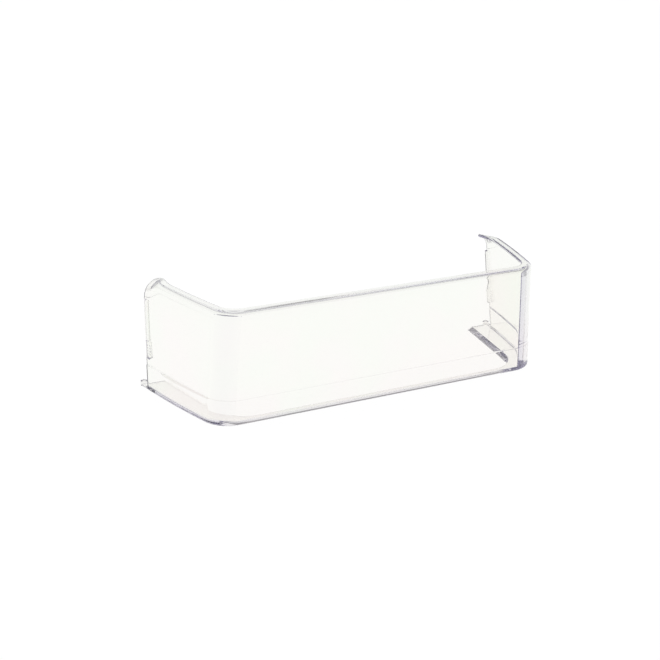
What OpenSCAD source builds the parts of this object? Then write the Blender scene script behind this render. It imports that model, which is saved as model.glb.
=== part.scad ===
// Clear door guard for a refrigerator: one moulded U of thin, see-through
// plastic. A long front wall turns through two rounded corners into a short
// wing at each end. A flat rim turns inward along the top and curls over at
// the back of each wing; a foot turns inward along the bottom and widens into
// a strip under each wing. The back is open.
// Frame: +Z up, the front wall faces -Y, the wings run towards +Y, and the
// origin is the middle of the footprint, on the surface it stands on.

/* [Overall size] */
// Length of the front's flat part, between its two corners
flat_l = 283.2; // [240:0.4:320]
// Height from the foot to the top of the rim
height = 101; // [92:1:120]
// Depth of a wing at its top, from the front wall's face
wing_d = 113; // [105:1:130]
// Depth of a wing at its foot
wing_foot_d = 100.5; // [94:0.5:105]
// Height at which the slanted rear edge turns upright
rear_knee_z = 77; // [70:1:80]

/* [Walls] */
// Wall thickness
wall_t = 2.5; // [2:0.1:3]
// Outer radius of the two front corners, seen from above
corner_r = 26; // [22:1:30]
// Extra thickness in the middle of a corner, whose inner face is flat
corner_fill = 3; // [2.5:0.5:3.5]
// Radius of the slight outward bow of each wing, seen from above
wing_bow_r = 701; // [651:25:801]
// Sideways run of a wing for each 24 of depth, where it leaves its corner
wing_run = 7; // [6:1:8]
// Angle by which each wing leans inward towards the top
wing_lean = 3.2; // [1:0.1:4]
// Height of the thicker skirt round the bottom
skirt_h = 23; // [18:1:27]
// How far the skirt stands out from the wall above it
skirt_out = 0.5; // [0.3:0.1:0.8]

/* [Rim] */
// Width of the inward rim, from the wall's outer face
rim_w = 9.5; // [8:0.5:12]
// Thickness of the rim
rim_t = 3; // [2.4:0.1:3.4]
// Radius of the rim's outer edge
rim_r = 4; // [3.5:0.1:4.5]
// Height of the thicker band under the rim
rim_h = 6; // [5.5:0.1:7]
// How far that band stands out on each side of the wall
rim_out = 0.3; // [0.25:0.05:0.4]
// Outer radius of the curl at the back end of each rim
curl_r = 14; // [10:0.5:15]
// Width of the curl
curl_w = 14.5; // [12:0.5:16]
// Length over which the rim grows into the curl
curl_l = 27; // [22:1:32]
// Drop of the curl's top at its back end
curl_drop = 2; // [0.5:0.5:3]

/* [Foot] */
// Thickness of the foot's plate
foot_t = 3; // [2.6:0.1:3.4]
// Radius of the foot's outer lower edge
foot_r = 1.6; // [1:0.1:2]
// Depth of the foot under the front wall
ledge_w = 8; // [7:0.5:10]
// Width of the foot's sloping inner edge
bevel_w = 5; // [3:0.5:6]
// Half distance between the strips' upper inner edges, carried to the front
strip_x = 147; // [143:0.5:149]
// Sideways run of the strip's inner edge for each 1 of depth
strip_run = 0.172; // [0.16:0.002:0.19]
// Upper corner radius between ledge and strip
strip_r = 32; // [24:1:36]
// Depth of the strips, to their back edge
strip_d = 108; // [106:0.5:110]
// Radius of the stud at the back outer corner of each strip
stud_r = 3; // [2.5:0.1:3.4]
// Height of the stud
stud_h = 5; // [4:0.5:6]

/* [Rear lip] */
// Height at which the lip on a wing's rear edge starts
lip_z0 = 28; // [26:1:34]
// Height at which it ends
lip_z1 = 81; // [60:1:81]
// How far it stands in from the wing's inner face
lip_t = 2.2; // [1.5:0.1:2.6]
// Its width along the wing
lip_d = 3; // [2.5:0.1:4]
// Height of the thicker catch at its lower end
catch_h = 15; // [10:1:18]
// How far the catch stands in past the lip
catch_t = 1; // [0.5:0.1:1.5]

/* [Hidden] */

// Centre of the corner, and the direction from it to where the wing starts
cor_x = flat_l / 2;
cor_y = corner_r;
meet_a = -atan2(wing_run, 24);
// Centre of the wing's circle, on the same line, so corner and wing meet smoothly
bow_x = cor_x - (wing_bow_r - corner_r) * cos(meet_a);
bow_y = cor_y - (wing_bow_r - corner_r) * sin(meet_a);
// Sideways move of a level outline to follow the lean of the wings
function lean_dx(z) = (175 - z * sin(wing_lean)) / cos(wing_lean) - 175;
// X of the wing's face at depth y and height z, moved out by o
function wing_x(y, z, o = 0) =
    (bow_x + sqrt(pow(wing_bow_r + o, 2) - pow(y - bow_y, 2)) - z * sin(wing_lean)) / cos(wing_lean);
// Rear edge of a wing at height z
function rear_y(z) = min(wing_d, wing_foot_d + (wing_d - wing_foot_d) * z / rear_knee_z);
// Depth where the plain rim ends and the curl takes over, and the height
// above which the curl replaces the wall
curl_y = wing_d - curl_l;
curl_z = height - curl_r - curl_drop - 3;
stud_y = strip_d + stud_r + 0.5;
stud_x = wing_x(stud_y, 0) - stud_r + 0.6;
// Outer line of the foot, and the depth of the whole part
foot_out = skirt_out + 0.2;
deep = max(wing_d, stud_y + stud_r);
ctr_y = (deep - foot_out) / 2;
BIG = 1440;
E = 90;

// Blocks on either side of the line where corner and wing meet
module meet_block(y0, y1) {
    translate([cor_x, cor_y, 0]) rotate([0, 0, meet_a]) translate([-50, y0, -40]) cube([100, y1 - y0, 260]);
}

// Carries a section, drawn as (distance in from the outer line, height),
// along the wing only, and along the front, round the corner and on
module wing_sweep() {
    intersection() {
        translate([bow_x, bow_y, 0]) rotate_extrude($fn = BIG)
            translate([wing_bow_r, 0]) mirror([1, 0]) children();
        meet_block(0, 150);
    }
}

module sweep() {
    translate([-12, 0, 0]) rotate([90, 0, 90]) linear_extrude(height = cor_x + 12) children();
    intersection() {
        translate([cor_x, cor_y, 0]) rotate_extrude($fn = E)
            translate([corner_r, 0]) mirror([1, 0]) children();
        translate([cor_x, -10, -40]) cube([50, 80, 260]);
        meet_block(-100, 0);
    }
    wing_sweep() children();
}

// A plate seen from the side, drawn as (depth, height), as wide as one half
module side(points, x0 = 0) {
    translate([x0, 0, 0]) rotate([90, 0, 90]) linear_extrude(height = 240 - x0) polygon(points);
}

// A strip of wall between two distances from the outer line, taller than the part
module wall_strip(u0, u1) {
    translate([u0, -20]) square([u1 - u0, height + 40]);
}

// Side view of a whole half, with the slanted rear edge, below the rim
module rear_side() {
    side([[-5, 1], [rear_y(1), 1], [wing_d, rear_knee_z], [wing_d, curl_z],
          [curl_y, curl_z], [curl_y, height - rim_r + 0.5], [-5, height - rim_r + 0.5]]);
}

// Upright walls of one half, with the thicker skirt
module half_walls() {
    intersection() {
        rotate([0, -wing_lean, 0]) sweep() wall_strip(0, wall_t);
        rear_side();
    }
    intersection() {
        rotate([0, -wing_lean, 0]) sweep() wall_strip(-skirt_out, wall_t / 2);
        rear_side();
        side([[-5, 0], [wing_d + 5, 0], [wing_d + 5, skirt_h], [-5, skirt_h]]);
    }
}

// Thicker plastic in one corner, flat towards the compartment, from the foot
// up to just under the rim
module half_corner() {
    intersection() {
        rotate([0, -wing_lean, 0]) translate([cor_x, cor_y, -20]) intersection() {
            cylinder(r = corner_r - 0.4 * wall_t, h = height + 40, $fn = E);
            rotate([0, 0, meet_a / 2 - 45]) translate([corner_r - wall_t - corner_fill, -30, -10]) cube([30, 60, height + 60]);
        }
        side([[-5, 1.5], [60, 1.5], [60, height - rim_h - 1], [-5, height - rim_h - 1]], 90);
    }
}

// Section of the rim: a band on both sides of the wall, a rounded outer edge
// and a flat flange with a round inner edge
module rim_section() {
    o = rim_out;
    difference() {
        union() {
            translate([-o, height - rim_h]) square([wall_t + 2 * o, rim_h - rim_r]);
            intersection() {
                translate([rim_r - o, height - rim_r]) circle(r = rim_r, $fn = 64);
                translate([-o - 1, height - rim_r]) square([rim_r + 1, rim_r + 1]);
            }
            translate([rim_r - o, height - rim_t]) square([rim_w - rim_t / 2 - rim_r + o, rim_t]);
            translate([rim_w - rim_t / 2, height - rim_t / 2]) circle(r = rim_t / 2, $fn = 48);
            translate([wall_t / 2, height - rim_h]) square([wall_t / 2 + o + 1.5, rim_h - rim_t / 2]);
        }
        // Under the flange, with a fillet against the wall
        translate([wall_t + o + 1.5, height - rim_t - 1.5]) circle(r = 1.5, $fn = 48);
        translate([wall_t + o, height - rim_h - 1]) square([4, rim_h + 1 - rim_t - 1.5]);
        translate([wall_t + o + 1.5, height - rim_t - 3]) square([2, 3]);
    }
}

module half_rim() {
    intersection() {
        translate([lean_dx(height - 4), 0, 0]) sweep() rim_section();
        side([[-5, height - 20], [curl_y, height - 20], [curl_y, height + 5], [-5, height + 5]]);
    }
}

// Smooth step from 0 to 1
function ease(t) = let (s = max(0, min(1, t))) s * s * (3 - 2 * s);
// Radius, width and top of the rim where it grows into the curl
function curl_rad(y) = rim_r + (curl_r - rim_r) * ease((y - curl_y) / (curl_l - 4));
function curl_wid(y) = rim_w + (curl_w - rim_w) * ease((y - curl_y) / (curl_l - 4)) - 2 * pow(max(0, (y - wing_d + 4) / 4), 2);
function curl_top(y) = height - curl_drop * pow(max(0, (y - curl_y - 6) / (curl_l - 6)), 2);
// Outer and inner lines of the curl's section at depth y, from the wall over
// to the free edge, as [x, y, z] points. cut pulls them in a little where the
// curl meets the rim; end shortens the foot of the last section.
CURL_K = 8;
CURL_N = CURL_K + 5;
// One point of the section: angle a round the bend, distance d from its
// centre, run on by f along the free edge's direction
function bend(y, r, x0, zt, d, a, f) = [x0 - r + d * cos(a) - f * sin(a), y, zt - r + d * sin(a) + f * cos(a)];
function curl_line(y, cut, end, inner) =
    let (r = curl_rad(y), w = curl_wid(y) - 1, zt = curl_top(y) - cut, x0 = wing_x(y, zt - r, rim_out - cut),
         th = rim_t + 0.5 * ease((y - curl_y) / curl_l) - 2 * cut, d = inner ? r - th : r,
         am = w >= r ? 90 : acos(1 - w / r), flat = max(0.1, w - r),
         f0 = inner ? 0.12 - wall_t : -0.12, f1 = inner ? cut + 0.02 - wall_t : -cut - 0.02)
    concat(
        [[wing_x(y, curl_z, f0), y - end, curl_z], [wing_x(y, curl_z + 1, f1), y, curl_z + 1]],
        [for (k = [0:CURL_K]) bend(y, r, x0, zt, d, am * k / CURL_K, 0)],
        [bend(y, r, x0, zt, d, am, flat), bend(y, r, x0, zt, d + (inner ? 0.8 : -0.8), am, flat + 0.9)]);
CURL_Y = concat([curl_y], [for (k = [0:9]) curl_y + 1 + (curl_l - 1) * k / 9]);

module half_curl() {
    m = len(CURL_Y) - 1;
    n = CURL_N;
    pts = [for (i = [0:m]) let (cut = i == 0 ? 0.15 : 0, end = i == m ? 0.15 : 0)
        each concat(curl_line(CURL_Y[i], cut, end, false), curl_line(CURL_Y[i], cut, end, true))];
    polyhedron(points = pts, faces = concat(
        // both ends, between the two lines
        [for (k = [0:n - 2]) [n + k, n + k + 1, k + 1, k]],
        [for (k = [0:n - 2]) let (e = m * 2 * n) [e + k, e + k + 1, e + n + k + 1, e + n + k]],
        // outer and inner surface
        [for (i = [0:m - 1], k = [0:n - 2]) let (e = i * 2 * n + k, f = e + 2 * n) [e + 1, f + 1, f, e]],
        [for (i = [0:m - 1], k = [0:n - 2]) let (e = i * 2 * n + n + k, f = e + 2 * n) [e, f, f + 1, e + 1]],
        // the lower face and the free edge
        [for (i = [0:m - 1]) let (e = i * 2 * n, f = e + 2 * n) [e, f, f + n, e + n]],
        [for (i = [0:m - 1]) let (e = i * 2 * n + n - 1, f = e + 2 * n) [e + n, f + n, f, e]]), convexity = 6);
}

// Section of the foot: a ring round the wall with a rounded lower edge, and a
// flat plate reaching w inward
module foot_section(w) {
    translate([foot_r - foot_out, foot_r]) circle(r = foot_r, $fn = 48);
    translate([-foot_out, foot_r]) square([wall_t + foot_out - 0.2, foot_t + 0.5 - foot_r]);
    translate([foot_r - foot_out, 0]) square([w + foot_out - foot_r, foot_t]);
}

// What is cut away behind the plate's sloping inner edge: 0 is the slope's
// upper line and the cut runs from there to d
blunt = 0.4;
module slope_cut(d) {
    polygon([[-1, foot_t + 4], [-1, foot_t + (foot_t - blunt) / bevel_w], [bevel_w, blunt], [bevel_w, -2], [d, -2], [d, foot_t + 4]]);
}

// Direction of a strip's inner edge, and the centre of its corner's radius
run_a = atan(strip_run);
sr_y = ledge_w + strip_r;
sr_x = strip_x + strip_run * sr_y - strip_r / cos(run_a);

module half_foot() {
    difference() {
        intersection() {
            union() {
                sweep() foot_section(corner_r - 1);
                wing_sweep() translate([10, 0]) square([corner_r - 5, foot_t]);
            }
            side([[-5, -1], [strip_d, -1], [strip_d, 3.2], [rear_y(foot_t) + 1, 3.2], [rear_y(foot_t) + 1, 8], [-5, 8]]);
        }
        // along the ledge, round the corner and along the strip
        translate([-1, ledge_w + 0.1, 0]) rotate([90, 0, 90]) linear_extrude(height = sr_x + 1) slope_cut(130);
        translate([sr_x, sr_y, 0]) rotate_extrude($fn = 180) translate([strip_r, 0]) mirror([1, 0]) slope_cut(strip_r);
        translate([sr_x + (strip_r - 0.1) * cos(run_a), sr_y - (strip_r - 0.1) * sin(run_a), 0]) rotate([0, 0, -run_a])
            rotate([90, 0, 180]) linear_extrude(height = 100) slope_cut(40);
    }
    // stud at the back outer corner, with the tongue that carries it
    translate([stud_x, stud_y, 0]) cylinder(r = stud_r, h = stud_h, $fn = 48);
    translate([0, 0, 0.25]) linear_extrude(height = foot_t - 0.5) polygon([[wing_x(strip_d, 0) - 9, strip_d - 3],
        [wing_x(strip_d, 0, -0.5), strip_d - 3], [stud_x + stud_r - 0.3, stud_y - 0.4], [stud_x - stud_r * 0.6, stud_y + stud_r * 0.5]]);
}

// Lip on the inside of a wing's rear edge, with the catch at its lower end
module half_lip() {
    intersection() {
        rotate([0, -wing_lean, 0]) wing_sweep() wall_strip(wall_t / 2, wall_t + lip_t);
        side([[rear_y(lip_z0) - lip_d, lip_z0 + 2], [rear_y(lip_z0) - 0.2, lip_z0], [wing_d - 0.2, rear_knee_z],
              [wing_d - 0.2, lip_z1], [wing_d - lip_d, lip_z1 - 1], [wing_d - lip_d, rear_knee_z]], 90);
    }
    intersection() {
        rotate([0, -wing_lean, 0]) wing_sweep() wall_strip(wall_t / 2, wall_t + lip_t + catch_t);
        side([[rear_y(lip_z0) - lip_d - 0.5, lip_z0 + 2.5], [rear_y(lip_z0 + 2) - 0.5, lip_z0 + 1], [rear_y(lip_z0 + catch_h) - 0.5, lip_z0 + catch_h],
              [rear_y(lip_z0 + catch_h) - lip_d - 0.5, lip_z0 + catch_h - 1]], 90);
    }
}

module half_guard() {
    half_walls();
    half_corner();
    half_rim();
    half_curl();
    half_foot();
    half_lip();
}

module door_guard() {
    color([0.93, 0.95, 0.94, 0.45]) translate([0, -ctr_y, 0]) {
        half_guard();
        mirror([1, 0, 0]) half_guard();
    }
}

door_guard();
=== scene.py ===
import math

import bpy
import numpy as np
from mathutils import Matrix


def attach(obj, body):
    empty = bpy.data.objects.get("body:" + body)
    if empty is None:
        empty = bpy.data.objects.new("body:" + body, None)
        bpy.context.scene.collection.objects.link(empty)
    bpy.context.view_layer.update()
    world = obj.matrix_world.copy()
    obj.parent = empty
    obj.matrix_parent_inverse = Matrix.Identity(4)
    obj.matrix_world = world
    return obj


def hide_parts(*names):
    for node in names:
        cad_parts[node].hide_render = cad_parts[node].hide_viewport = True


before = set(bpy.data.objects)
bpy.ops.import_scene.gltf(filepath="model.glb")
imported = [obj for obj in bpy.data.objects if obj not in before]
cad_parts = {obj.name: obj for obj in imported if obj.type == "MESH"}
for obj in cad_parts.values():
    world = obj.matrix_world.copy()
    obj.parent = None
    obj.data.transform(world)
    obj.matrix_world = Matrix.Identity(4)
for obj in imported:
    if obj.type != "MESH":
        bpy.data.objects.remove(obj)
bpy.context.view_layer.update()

# ---------------------------------------------------------------------------
# The guard's own plan, in millimetres: the front wall's face is y = 0, the
# wings run towards +y, z is up. It moves back by CTR_Y into the part's frame.
# ---------------------------------------------------------------------------
CTR_Y = 56.9
HEIGHT = 101.0
COR_X, COR_R = 141.6, 26.0           # centre of a corner's arc and its radius
MEET = (0.96, -0.28)                 # direction in which corner and wing meet
BOW_R = 701.0                        # the wing's slight outward bow
BOW_X, BOW_Y = COR_X - (BOW_R - COR_R) * MEET[0], COR_R - (BOW_R - COR_R) * MEET[1]
LEAN = math.radians(3.2)
WING_D, FOOT_D, KNEE_Z, STRIP_D = 113.0, 100.5, 77.0, 108.0
WALL_T, SKIRT_H, SKIRT = 2.5, 23.0, 0.5
BAND, FOOT_OUT, FOOT_R, FOOT_T = 0.3, 0.699, 1.6, 3.0
LEDGE_W, BEVEL_W, BLUNT = 8.0, 5.0, 0.4
RUN_A = math.atan(0.172)
STRIP_R = 32.0
SR_Y = LEDGE_W + STRIP_R
SR_X = 147.0 + 0.172 * SR_Y - STRIP_R / math.cos(RUN_A)
RIM_R, RIM_W, RIM_T = 4.0, 9.5, 3.0
CURL_R, CURL_W, CURL_L, CURL_DROP = 14.0, 14.0, 27.0, 2.0
LIP_Z0, LIP_Z1, LIP_T = 28.0, 81.4, 2.2
CATCH_Z1, CATCH_T = 43.0, 1.0
CHORD_D = 20.5                       # distance of the corner's flat inner face from its centre
START_Y = 18.72                      # y of the meeting line at the outer face
TAIL = 9.0                           # the last stretch of a wing, ringed closely


def ease(t):
    t = np.clip(t, 0.0, 1.0)
    return t * t * (3 - 2 * t)


def rear_y(z):
    return np.minimum(WING_D, FOOT_D + (WING_D - FOOT_D) * z / KNEE_Z)


def end_y(z):
    """Where a wing ends at height z: the foot's strip reaches further back than the wall."""
    w = ease((z - 3.2) / 0.4)
    return STRIP_D * (1 - w) + rear_y(z) * w


def lean(x, z):
    w = ease((z - 3.2) / 0.5)
    return x + ((x - z * math.sin(LEAN)) / math.cos(LEAN) - x) * w


def edge_value(x, y):
    """Distance of a plan point from the centre line of the foot's inner edge, less its radius: 0 on the slope's upper line, -BEVEL_W on its lower one."""
    dx, dy = x - SR_X, y - SR_Y
    if dx <= 0:
        return -dy - STRIP_R
    if dx * math.sin(RUN_A) + dy * math.cos(RUN_A) >= 0:
        return dx * math.cos(RUN_A) - dy * math.sin(RUN_A) - STRIP_R
    return math.hypot(dx, dy) - STRIP_R


# --- stations along one half: each gives plan points for distances u inward ---

def front_station(t):
    def at(u, z):
        base = lean(np.full_like(u, COR_X), z)
        return base * t, u.copy()
    return at


def corner_station(a):
    def at(u, z):
        x = COR_X + (COR_R - u) * math.cos(a)
        return lean(x, z), COR_R + (COR_R - u) * math.sin(a)
    return at


def wing_station(t, tail):
    """t runs 0 to 1 up to TAIL before the end; then tail is the distance left."""
    def at(u, z):
        last = end_y(z)
        if tail is None:
            y = START_Y + (last - TAIL - START_Y) * t + 0.28 * u * (1 - t) ** 2
        else:
            y = last - tail
        x = BOW_X + np.sqrt((BOW_R - u) ** 2 - (y - BOW_Y) ** 2)
        return lean(x, z), y
    return at


def foot_edges(at):
    """u of the slope's upper and lower line at a station."""
    found = []
    x, y = at(np.array([LEDGE_W]), np.array([0.0]))
    wide = 1.3 + (BEVEL_W - 1.3) * float(ease((float(y[0]) - LEDGE_W - 0.5) / 22.0))
    for off in (0.0, wide):
        lo, hi = 2.0, 70.0
        for _ in range(50):
            mid = (lo + hi) / 2
            x, y = at(np.array([mid]), np.array([0.0]))
            if edge_value(float(x[0]), float(y[0])) > -off:
                lo = mid
            else:
                hi = mid
        found.append((lo + hi) / 2)
    return found


# heights of the nodes up a wall: close where the skirt's step, the catch, the
# ribs and the lip's two ends are
RIBS_Z = (31.4, 41.4)
WALL_Z = [4.9, 6.0, 9.0, 13.0, 17.0, 20.0, 21.5, 22.0, 22.4, 22.75, 23.05, 23.35, 23.7, 24.2, 25.2, 26.6,
          27.5, 28.0, 28.5, 29.1, 29.9, 30.6, 31.0] + [31.4 + 0.5 * k for k in range(21)] + \
         [41.9, 42.4, 42.8, 43.2, 43.7, 44.4, 46.0, 50.0, 55.0, 60.0, 65.0, 70.0, 74.5, 77.0, 79.0, 80.2, 80.8, 81.2,
          81.6, 82.0]
SKIRT_U = {21.5: (-0.5, -0.49), 22.0: (-0.5, -0.44), 22.4: (-0.5, -0.36), 22.75: (-0.48, -0.26), 23.05: (-0.17, -0.17), 23.35: (0.0, -0.09),
           23.7: (0.0, -0.03), 24.2: (0.0, 0.0)}


def skirt_u(z, soft):
    """The skirt's outer face and its step, which is drawn out more (soft 1) on the wings than on the front (0)."""
    if z in SKIRT_U:
        return SKIRT_U[z][0] * (1 - soft) + SKIRT_U[z][1] * soft
    return -SKIRT if z < 21.3 else 0.0


def section(ut, ub, yr, tail, more=0.0, soft=0.0):
    """The closed outline at a station as rows (u, z, inward u, inward z, room): ut, ub are the foot's edges, yr the depth at the top, tail the
    distance left to the rear edge or None, more the wall's extra thickness. Inward is the direction in which the outline shrinks at the rounded rear edge."""
    rows = []

    def add(u, z, du, dz, room=1.0):
        rows.append((u, z, du, dz, room))

    # growth of the rim into the curl
    g = float(ease((yr - (WING_D - CURL_L)) / (CURL_L - 4)))
    r = RIM_R + (CURL_R - RIM_R) * g
    bo = BAND * (1 - g)
    late = min(0.985, max(0.0, (yr - (WING_D - 4.5)) / 4.5))
    w = (RIM_W - 1.5 + BAND) + (CURL_W - RIM_W) * g - 3.6 * (1 - math.sqrt(1 - late * late))
    top = HEIGHT - CURL_DROP * max(0.0, (yr - (WING_D - CURL_L) - 6) / (CURL_L - 6)) ** 2
    za = top - r
    zb = za - 2.0
    z_lo, z_hi = zb - 0.4 - 4.0 * (1 - g), zb + 0.3 + 0.9 * (1 - g)
    th = RIM_T - 0.2 * g
    am = math.pi / 2 if w >= r else math.acos(1 - w / r)
    flat = max(0.12, w - r)
    iu = (4.3 * (1 - g) + (r - bo) * g)
    iz = (96.5 * (1 - g) + za * g)
    ir = iu - (WALL_T + BAND)

    # underside, from the slope's blunt end out to the rounded lower edge
    add(ub - 0.12, 0.0, 0, 1, 0.12)
    add(ub - 0.6, 0.0, 0, 1, 0.25)
    for k in (0.25, 0.5, 0.75):
        add((ub - 0.6) + (1.4 - ub + 0.6) * k, 0.0, 0, 1)
    add(1.4, 0.0, 0, 1)
    for k in range(0, 9):
        a = math.radians(270 - 90 * k / 8)
        add(FOOT_R - FOOT_OUT + FOOT_R * math.cos(a), FOOT_R + FOOT_R * math.sin(a), -math.cos(a), -math.sin(a))
    add(-FOOT_OUT, 2.3, 1, 0)
    add(-FOOT_OUT, 3.12, 1, 0)
    add(-0.66, 3.36, 1, 0)
    add(-0.55, 3.5, 1, 0)
    add(-SKIRT, 3.72, 1, 0)
    add(-SKIRT, 4.2, 1, 0)
    # outer face: skirt, its step, the wall
    for z in WALL_Z:
        add(skirt_u(z, soft), z, 1, 0)
    zt = WALL_Z[-1]
    for k in (0.35, 0.7):
        add(0.0, zt + (z_lo - zt) * k, 1, 0)
    for k, share in zip((0.0, 0.25, 0.5, 0.75, 1.0), (0.0, 0.16, 0.5, 0.84, 1.0)):
        add(-share * bo, z_lo + (z_hi - z_lo) * k, 1, 0)
    # over the rim's outer edge to the flat flange, or round the curl
    n_arc = 14
    for k in range(0, n_arc + 1):
        a = am * k / n_arc
        add(r - bo - r * math.cos(a), za + r * math.sin(a), math.cos(a), -math.sin(a))
    t = (math.sin(am), math.cos(am))
    n = (math.cos(am), -math.sin(am))
    eu, ez = r - bo - r * math.cos(am), za + r * math.sin(am)
    for k in (0.12, 0.5, 0.9, 1.0):
        add(eu + t[0] * flat * k, ez + t[1] * flat * k, n[0], n[1])
    ou, oz = eu + t[0] * flat, ez + t[1] * flat
    mu, mz = ou + n[0] * th / 2, oz + n[1] * th / 2
    n_tip = 12
    for k in range(1, n_tip):
        p = math.pi * k / n_tip
        du, dz = -n[0] * math.cos(p) + t[0] * math.sin(p), -n[1] * math.cos(p) + t[1] * math.sin(p)
        add(mu + du * th / 2, mz + dz * th / 2, -du, -dz)
    # underside of the flange and the fillet under it
    fu, fz = ou + n[0] * th, oz + n[1] * th
    gu, gz = iu - ir * math.cos(am), iz + ir * math.sin(am)
    for k in (0.0, 0.1, 0.5, 0.88):
        add(fu + (gu - fu) * k, fz + (gz - fz) * k, -n[0], -n[1])
    for k in range(n_arc, -1, -1):
        a = am * k / n_arc
        add(iu - ir * math.cos(a), iz + ir * math.sin(a), -math.cos(a), math.sin(a))
    for k, share in zip((1.0, 0.75, 0.5, 0.25, 0.0), (1.0, 0.84, 0.5, 0.16, 0.0)):
        z = z_lo + (z_hi - z_lo) * k
        add(WALL_T + more + share * BAND, z, -1, 0)

    # inner face, with the lip, its catch and the ribs near the rear edge
    def inner_u(z):
        if tail is None:
            return WALL_T + more
        lip = float(ease((3.45 - tail) / 0.5)) * LIP_T * float(ease((z - LIP_Z0 - (0.7 if z < 60 else 0) + 0.9) / 1.4)) * \
            float(ease((LIP_Z1 - z) / 1.3))
        catch = float(ease((3.9 - tail) / 0.5)) * CATCH_T * float(ease((z - LIP_Z0 - 0.2) / 1.2)) * float(ease((CATCH_Z1 + 1.0 - z) / 1.2))
        if tail < 3.9:
            catch += float(ease((3.9 - tail) / 0.5) - ease((3.45 - tail) / 0.5)) * LIP_T * float(ease((z - LIP_Z0 - 0.2) / 1.2)) * \
                float(ease((CATCH_Z1 + 1.0 - z) / 1.2))
        ribs = 0.0
        if RIBS_Z[0] < z < RIBS_Z[1]:
            ribs = 0.4 * (0.5 - 0.5 * math.cos(2 * math.pi * (z - RIBS_Z[0]) / 2.5)) * \
                float(ease((7.6 - tail) / 0.7)) * float(ease((tail - 3.4) / 0.4))
        return WALL_T + lip + catch + ribs
    for k in (0.7, 0.35):
        z = zt + (z_lo - zt) * k
        add(inner_u(z), z, -1, 0)
    for z in reversed(WALL_Z):
        add(inner_u(z), z, -1, 0)
    # fillet to the plate's top, then the top and the slope
    fr = 1.2
    for k in range(0, 6):
        a = math.radians(180 + 90 * k / 5)
        add(WALL_T + more + fr + fr * math.cos(a), FOOT_T + fr + fr * math.sin(a), math.cos(a), math.sin(a))
    s0 = WALL_T + more + fr
    add(s0 + 0.4, FOOT_T, 0, -1)
    for k in (0.33, 0.66):
        add(s0 + 0.4 + (ut - 0.6 - s0 - 0.4) * k, FOOT_T, 0, -1)
    add(ut - 0.6, FOOT_T, 0, -1)
    add(ut - 0.2, FOOT_T - 0.02, 0, -1)
    q = ub - ut
    sl = (FOOT_T - BLUNT) / q
    m = math.hypot(1, sl)
    add(ut + 0.2, FOOT_T - 0.2 * sl - 0.04, -sl / m, -1 / m)
    for k in (0.25, 0.5, 0.75):
        add(ut + q * k, FOOT_T - q * k * sl, -sl / m, -1 / m, 1 - 0.7 * k)
    add(ub - 0.5, BLUNT + 0.5 * sl, -sl / m, -1 / m, 0.2)
    add(ub - 0.12, BLUNT + 0.08 * sl, -sl / m, -1 / m, 0.1)
    add(ub, BLUNT - 0.1, -1, 0, 0.1)
    add(ub, 0.12, -1, 0, 0.1)
    return np.array(rows, float)


def round_off(row, depth):
    """Moves an outline inward by depth, less where the plate is too thin for it."""
    out = row.copy()
    d = depth * row[:, 4]
    out[:, 0] += row[:, 2] * d
    out[:, 1] += row[:, 3] * d
    return out


def half_rings():
    """Rings of points (x, y, z) of one half, from the middle of the front to the rear edge."""
    plan, extra = [], {}
    for x in (0.0, 20.0, 40.0, 60.0, 80.0, 100.0, 112.0, 118.0, 121.0, 124.0, 127.0, 130.0, 133.0, 136.0, 138.5, 140.5):
        plan.append((front_station(x / COR_X), None))
    a0, a1 = -math.pi / 2, math.atan2(MEET[1], MEET[0])
    n = 34
    for k in range(0, n + 1):
        a = a0 + (a1 - a0) * k / n
        plan.append((corner_station(a), None))
        extra[len(plan) - 1] = max(0.0, COR_R - WALL_T - CHORD_D / math.cos(a - (a0 + a1) / 2))
    n = 44
    for k in range(1, n + 1):
        plan.append((wing_station(k / n, None), None))
    edge = 0.8
    for tail in (8.3, 7.8, 7.4, 7.0, 6.4, 5.6, 4.9, 4.3, 3.95, 3.75, 3.55, 3.4, 3.2, 3.0, 2.8, 2.3, 1.7, 1.2, 0.8):
        plan.append((wing_station(1, tail), (tail, 0.0)))
    for deg in (0, 22, 45, 67, 90):
        a = math.radians(deg)
        plan.append((wing_station(1, edge * (1 - math.sin(a))), (edge * (1 - math.sin(a)), edge * (1 - math.cos(a)))))
    rings = []
    for i, (at, tail) in enumerate(plan):
        ut, ub = foot_edges(at)
        yr = float(at(np.array([0.0]), np.array([98.0]))[1][0])
        row = section(ut, ub, yr, None if tail is None else tail[0], extra.get(i, 0.0), float(ease((yr - 4.0) / 16.0)))
        if tail is not None and tail[1] > 0:
            row = round_off(row, tail[1])
        x, y = at(row[:, 0], row[:, 1])
        rings.append(np.stack([x, y, row[:, 1]], 1))
    return np.array(rings)


RINGS = half_rings()
M, N = RINGS.shape[:2]

# indices in a ring that the end cap joins
n_bottom = 6 + 9 + 2                       # underside, rounded edge, up to z 3.12
FIRST_UP = n_bottom - 1                    # last node of the foot's outer side
n_up = 4 + len(WALL_Z) + 2 + 5 + 15 + 4    # ring top, wall, band, arc, flange
TIP0 = FIRST_UP + n_up                     # flange's end at its top
TIP1 = TIP0 + 12                           # and at its underside


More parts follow.
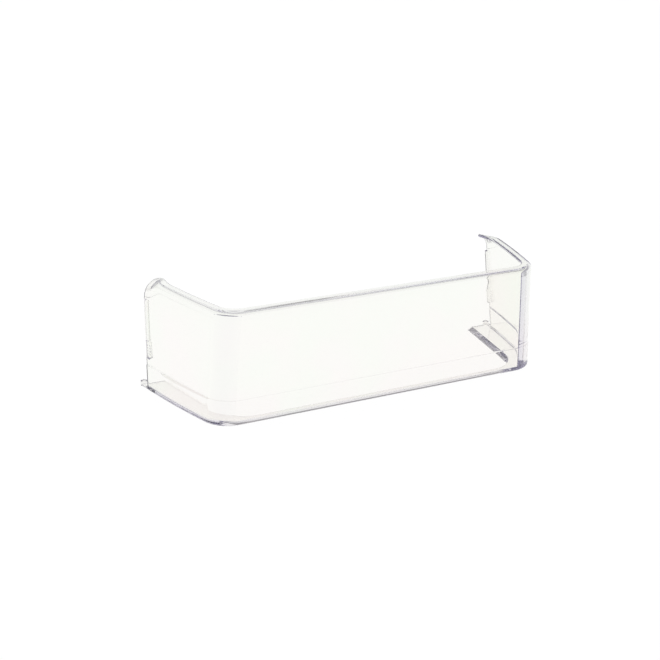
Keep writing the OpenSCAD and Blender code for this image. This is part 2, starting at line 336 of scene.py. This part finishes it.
def build_guard():
    """One closed mesh: both halves, with the front ring shared and an end cap on each."""
    left = RINGS.copy()
    left[:, :, 0] *= -1
    verts = np.concatenate([left[:0:-1].reshape(-1, 3), RINGS.reshape(-1, 3)])
    total = 2 * M - 1
    faces = []
    for i in range(total - 1):
        a, b = i * N, (i + 1) * N
        for k in range(N):
            j = (k + 1) % N
            faces.append((a + k, b + k, b + j, a + j))

    def cap(base, flip):
        out = []
        # pair nodes from the foot up: outer FIRST_UP + k with inner, counted back from the plate
        outer = list(range(FIRST_UP, TIP0 + 1))
        inner = list(range(TIP1, N))
        top_in = inner[:inner_count]
        assert len(top_in) == len(outer), (len(top_in), len(outer))
        top_in = top_in[::-1]
        for k in range(len(outer) - 1):
            out.append((outer[k], outer[k + 1], top_in[k + 1], top_in[k]))
        tip = list(range(TIP0, TIP1 + 1))
        out.append(tuple(tip))
        foot = list(range(0, FIRST_UP + 1)) + list(range(TIP1 + inner_count - 1, N))
        out.append(tuple(foot))
        out = [tuple(base + q for q in f) for f in out]
        return [f[::-1] for f in out] if flip else out
    # inner nodes that pair with the outer ones: flange, fillet, band, wall, and the plate fillet as far as z 3.06
    inner_count = 4 + 15 + 5 + 2 + len(WALL_Z) + 5
    n_outer = TIP0 + 1 - FIRST_UP
    extra = inner_count - n_outer
    assert extra == 0, extra
    faces += cap((total - 1) * N, False)
    faces += cap(0, True)
    return verts, faces


verts, faces = build_guard()


def to_frame(p):
    q = np.array(p, float)
    q[:, 1] -= CTR_Y
    return q * 0.001


def new_object(name, v, f):
    mesh = bpy.data.meshes.new(name)
    mesh.from_pydata([tuple(p) for p in v], [], f)
    mesh.validate()
    mesh.update()
    o = bpy.data.objects.new(name, mesh)
    bpy.context.scene.collection.objects.link(o)
    return o


guard = new_object("door_guard_clear", to_frame(verts), faces)


def ring_tube(path, profile, sides):
    """A body of revolution about a vertical axis at path, from (radius, z) pairs, closed at both ends."""
    v, f = [], []
    for rad, z in profile:
        for k in range(sides):
            a = 2 * math.pi * k / sides
            v.append((path[0] + rad * math.cos(a), path[1] + rad * math.sin(a), z))
    for i in range(len(profile) - 1):
        for k in range(sides):
            j = (k + 1) % sides
            f.append((i * sides + k, i * sides + j, (i + 1) * sides + j, (i + 1) * sides + k))
    f.append(tuple(reversed(range(sides))))
    last = (len(profile) - 1) * sides
    f.append(tuple(range(last, last + sides)))
    return v, f


def prism(points, z0, z1, soft):
    """A flat prism with its edges taken off by soft."""
    c = np.mean(points, axis=0)
    v, f = [], []
    n = len(points)
    levels = [(z0, soft), (z0 + soft, 0.0), (z1 - soft, 0.0), (z1, soft)]
    for z, inset in levels:
        for p in points:
            d = c - p
            q = p + d / np.linalg.norm(d) * inset
            v.append((q[0], q[1], z))
    for i in range(3):
        for k in range(n):
            j = (k + 1) % n
            f.append((i * n + k, i * n + j, (i + 1) * n + j, (i + 1) * n + k))
    f.append(tuple(reversed(range(n))))
    f.append(tuple(range(3 * n, 4 * n)))
    return v, f


def both_sides(v, f):
    """Adds the mirror image of a piece, with its faces turned the right way."""
    n = len(v)
    return v + [(-x, y, z) for x, y, z in v], f + [tuple(n + i for i in reversed(q)) for q in f]


def wing_x(y, out=0.0):
    return (BOW_X + math.sqrt((BOW_R + out) ** 2 - (y - BOW_Y) ** 2)) / math.cos(LEAN)


STUD_Y = STRIP_D + 3.5
STUD_X = wing_x(STUD_Y) - 2.4
stud_profile = [(2.6, 0.0), (2.84, 0.1), (2.95, 0.32), (2.98, 0.6), (2.98, 2.4), (2.98, 4.0), (2.93, 4.35), (2.78, 4.68), (2.53, 4.9), (2.2, 5.0)]
studs = new_object("studs", *[a if i else to_frame(a) for i, a in enumerate(both_sides(*ring_tube((STUD_X, STUD_Y), stud_profile, 48)))])
tongue = [np.array(p) for p in ((wing_x(STRIP_D) - 9, STRIP_D - 3), (wing_x(STRIP_D, -0.5), STRIP_D - 3), (STUD_X + 2.7, STUD_Y - 0.4), (STUD_X - 1.8, STUD_Y + 1.5))]
tongues = new_object("tongues", *[a if i else to_frame(a) for i, a in enumerate(both_sides(*prism(tongue, 0.15, 2.8, 0.25)))])


def join_exactly(base, others):
    for other in others:
        m = base.modifiers.new("join", "BOOLEAN")
        m.operation, m.solver, m.object = "UNION", "EXACT", other
    bpy.context.view_layer.update()
    dg = bpy.context.evaluated_depsgraph_get()
    made = bpy.data.meshes.new_from_object(base.evaluated_get(dg))
    base.modifiers.clear()
    old = base.data
    base.data = made
    bpy.data.meshes.remove(old)
    for other in others:
        data = other.data
        bpy.data.objects.remove(other)
        bpy.data.meshes.remove(data)


import bmesh

for o in (guard, studs, tongues):
    bm = bmesh.new()
    bm.from_mesh(o.data)
    bmesh.ops.recalc_face_normals(bm, faces=bm.faces)
    bm.to_mesh(o.data)
    bm.free()
join_exactly(guard, [tongues, studs])
guard.data.name = "door_guard_clear"
guard.data.shade_smooth()
guard.data.set_sharp_from_angle(angle=math.radians(42))

# ---------------------------------------------------------------------------
# Clear moulded plastic
# ---------------------------------------------------------------------------


def node(tree, kind, **values):
    n = tree.nodes.new(kind)
    for k, v in values.items():
        if k in n.inputs:
            n.inputs[k].default_value = v
        else:
            setattr(n, k, v)
    return n


def clear_plastic():
    """Clear plastic with the small unevennesses of a moulding: a faint random wander of tint, gloss and flatness. Low
    down the tint turns pinker as painted shade, standing in for the shaded floor seen through the lower walls.
    Absorption inside makes long paths greyer.
    """
    m = bpy.data.materials.new("clear_plastic")
    m.use_nodes = True
    t = m.node_tree
    b = t.nodes["Principled BSDF"]
    b.inputs["Transmission Weight"].default_value = 1.0
    b.inputs["IOR"].default_value = 1.57
    place = node(t, "ShaderNodeTexCoord").outputs["Object"]

    def noise(scale, detail):
        n = node(t, "ShaderNodeTexNoise", Scale=scale, Detail=detail, Roughness=0.5)
        t.links.new(place, n.inputs["Vector"])
        return n.outputs["Fac"]

    # greenish cream and, in patches, a little pinker; the pinker tint low down is painted shade, standing in for the
    # shaded floor seen through the lower walls
    low = node(t, "ShaderNodeSeparateXYZ")
    t.links.new(place, low.inputs[0])
    # painted shade: below 45 mm the tint is pushed up to 0.12 towards the pinker end
    low_painted_shade = node(t, "ShaderNodeMapRange", interpolation_type="SMOOTHSTEP")
    for socket, value in (("From Min", 0.005), ("From Max", 0.045), ("To Min", 0.12), ("To Max", 0.0)):
        low_painted_shade.inputs[socket].default_value = value
    t.links.new(low.outputs["Z"], low_painted_shade.inputs["Value"])
    # random tone from the noise plus the painted shade low down
    wander_and_painted_shade = node(t, "ShaderNodeMath", operation="ADD")
    t.links.new(noise(16.0, 2.0), wander_and_painted_shade.inputs[0])
    t.links.new(low_painted_shade.outputs["Result"], wander_and_painted_shade.inputs[1])
    tint = node(t, "ShaderNodeValToRGB")
    tint.color_ramp.elements[0].position, tint.color_ramp.elements[0].color = 0.42, (0.975, 0.988, 0.935, 1)
    tint.color_ramp.elements[1].position, tint.color_ramp.elements[1].color = 0.68, (0.994, 0.974, 0.944, 1)
    t.links.new(wander_and_painted_shade.outputs[0], tint.inputs[0])
    t.links.new(tint.outputs[0], b.inputs["Base Color"])

    gloss = node(t, "ShaderNodeMapRange")
    for socket, value in (("From Min", 0.3), ("From Max", 0.7), ("To Min", 0.01), ("To Max", 0.035)):
        gloss.inputs[socket].default_value = value
    t.links.new(noise(120.0, 3.0), gloss.inputs["Value"])
    t.links.new(gloss.outputs["Result"], b.inputs["Roughness"])

    waves = node(t, "ShaderNodeBump", Strength=0.2, Distance=0.0004)
    t.links.new(noise(45.0, 1.0), waves.inputs["Height"])
    t.links.new(waves.outputs[0], b.inputs["Normal"])

    inside = node(t, "ShaderNodeVolumeAbsorption", Color=(0.48, 0.45, 0.62, 1), Density=16.0)
    t.links.new(inside.outputs[0], t.nodes["Material Output"].inputs["Volume"])
    return m


guard.data.materials.clear()
guard.data.materials.append(clear_plastic())
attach(guard, "root")
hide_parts("door_guard")

# ---------------------------------------------------------------------------
# Floor, light and camera
# ---------------------------------------------------------------------------
bpy.ops.mesh.primitive_plane_add(size=140, location=(0, 2, -0.0004))
floor = bpy.context.object
floor.name = "floor"
fm = bpy.data.materials.new("pale_floor")
fm.use_nodes = True
fb = fm.node_tree.nodes["Principled BSDF"]
fb.inputs["Base Color"].default_value = (0.06, 0.06, 0.06, 1)
fb.inputs["Roughness"].default_value = 0.9
fb.inputs["Specular IOR Level"].default_value = 0.0
fb.inputs["Emission Color"].default_value = (1, 1, 1, 1)
fb.inputs["Emission Strength"].default_value = 0.98
floor.data.materials.append(fm)

world = bpy.data.worlds.new("studio")
bpy.context.scene.world = world
world.use_nodes = True
wt = world.node_tree
bg = wt.nodes["Background"]
bg.inputs["Strength"].default_value = 1.0
where = node(wt, "ShaderNodeTexCoord")
split = node(wt, "ShaderNodeSeparateXYZ")
wt.links.new(where.outputs["Generated"], split.inputs[0])
height = node(wt, "ShaderNodeValToRGB")
# the low dark band stands behind the object only
lift = node(wt, "ShaderNodeMapRange", interpolation_type="SMOOTHSTEP")
for socket, value in (("From Min", 0.45), ("From Max", 0.75), ("To Min", 0.22), ("To Max", 0.0)):
    lift.inputs[socket].default_value = value
wt.links.new(split.outputs["Y"], lift.inputs["Value"])
raised = node(wt, "ShaderNodeMath", operation="ADD")
wt.links.new(split.outputs["Z"], raised.inputs[0])
wt.links.new(lift.outputs["Result"], raised.inputs[1])
wt.links.new(raised.outputs[0], height.inputs[0])
ramp = height.color_ramp
ramp.interpolation = "EASE"
ramp.elements[0].position, ramp.elements[0].color = 0.10, (0.29, 0.285, 0.30, 1)
ramp.elements[1].position, ramp.elements[1].color = 0.85, (0.66, 0.65, 0.70, 1)
for place, shade in ((0.27, (0.90, 0.90, 0.92, 1)), (0.40, (0.95, 0.95, 0.97, 1)), (0.58, (0.50, 0.495, 0.53, 1))):
    e = ramp.elements.new(place)
    e.color = shade
# brighter behind the object than beside it and in front
side = node(wt, "ShaderNodeMapRange", interpolation_type="SMOOTHSTEP")
for socket, value in (("From Min", -0.1), ("From Max", 0.55), ("To Min", 0.62), ("To Max", 1.0)):
    side.inputs[socket].default_value = value
wt.links.new(split.outputs["Y"], side.inputs["Value"])
wt.links.new(side.outputs["Result"], bg.inputs["Strength"])
wt.links.new(height.outputs[0], bg.inputs["Color"])

scene = bpy.context.scene
scene.view_settings.view_transform = "Standard"
scene.view_settings.look = "None"
scene.cycles.max_bounces = 128
scene.cycles.glossy_bounces = 96
scene.cycles.transmission_bounces = 96

AZ, EL, ROLL = -0.5094427571, 0.3689592228, 0.0331363102
F_PX = 1278.8662
cam = bpy.data.cameras.new("camera")
cam.sensor_width = 36.0
cam.lens = 36.0 * F_PX / 660.0
cam.clip_start, cam.clip_end = 0.01, 100
camera = bpy.data.objects.new("camera", cam)
scene.collection.objects.link(camera)
fwd = np.array([-math.sin(AZ) * math.cos(EL), math.cos(AZ) * math.cos(EL), -math.sin(EL)])
right = np.array([math.cos(AZ), math.sin(AZ), 0.0])
up = np.cross(right, fwd)
r2 = math.cos(ROLL) * right + math.sin(ROLL) * up
u2 = -math.sin(ROLL) * right + math.cos(ROLL) * up
from mathutils import Matrix
camera.matrix_world = Matrix((
    (r2[0], u2[0], -fwd[0], -0.551513),
    (r2[1], u2[1], -fwd[1], -0.881814 - CTR_Y * 0.001),
    (r2[2], u2[2], -fwd[2], 0.463135),
    (0, 0, 0, 1)))
scene.camera = camera
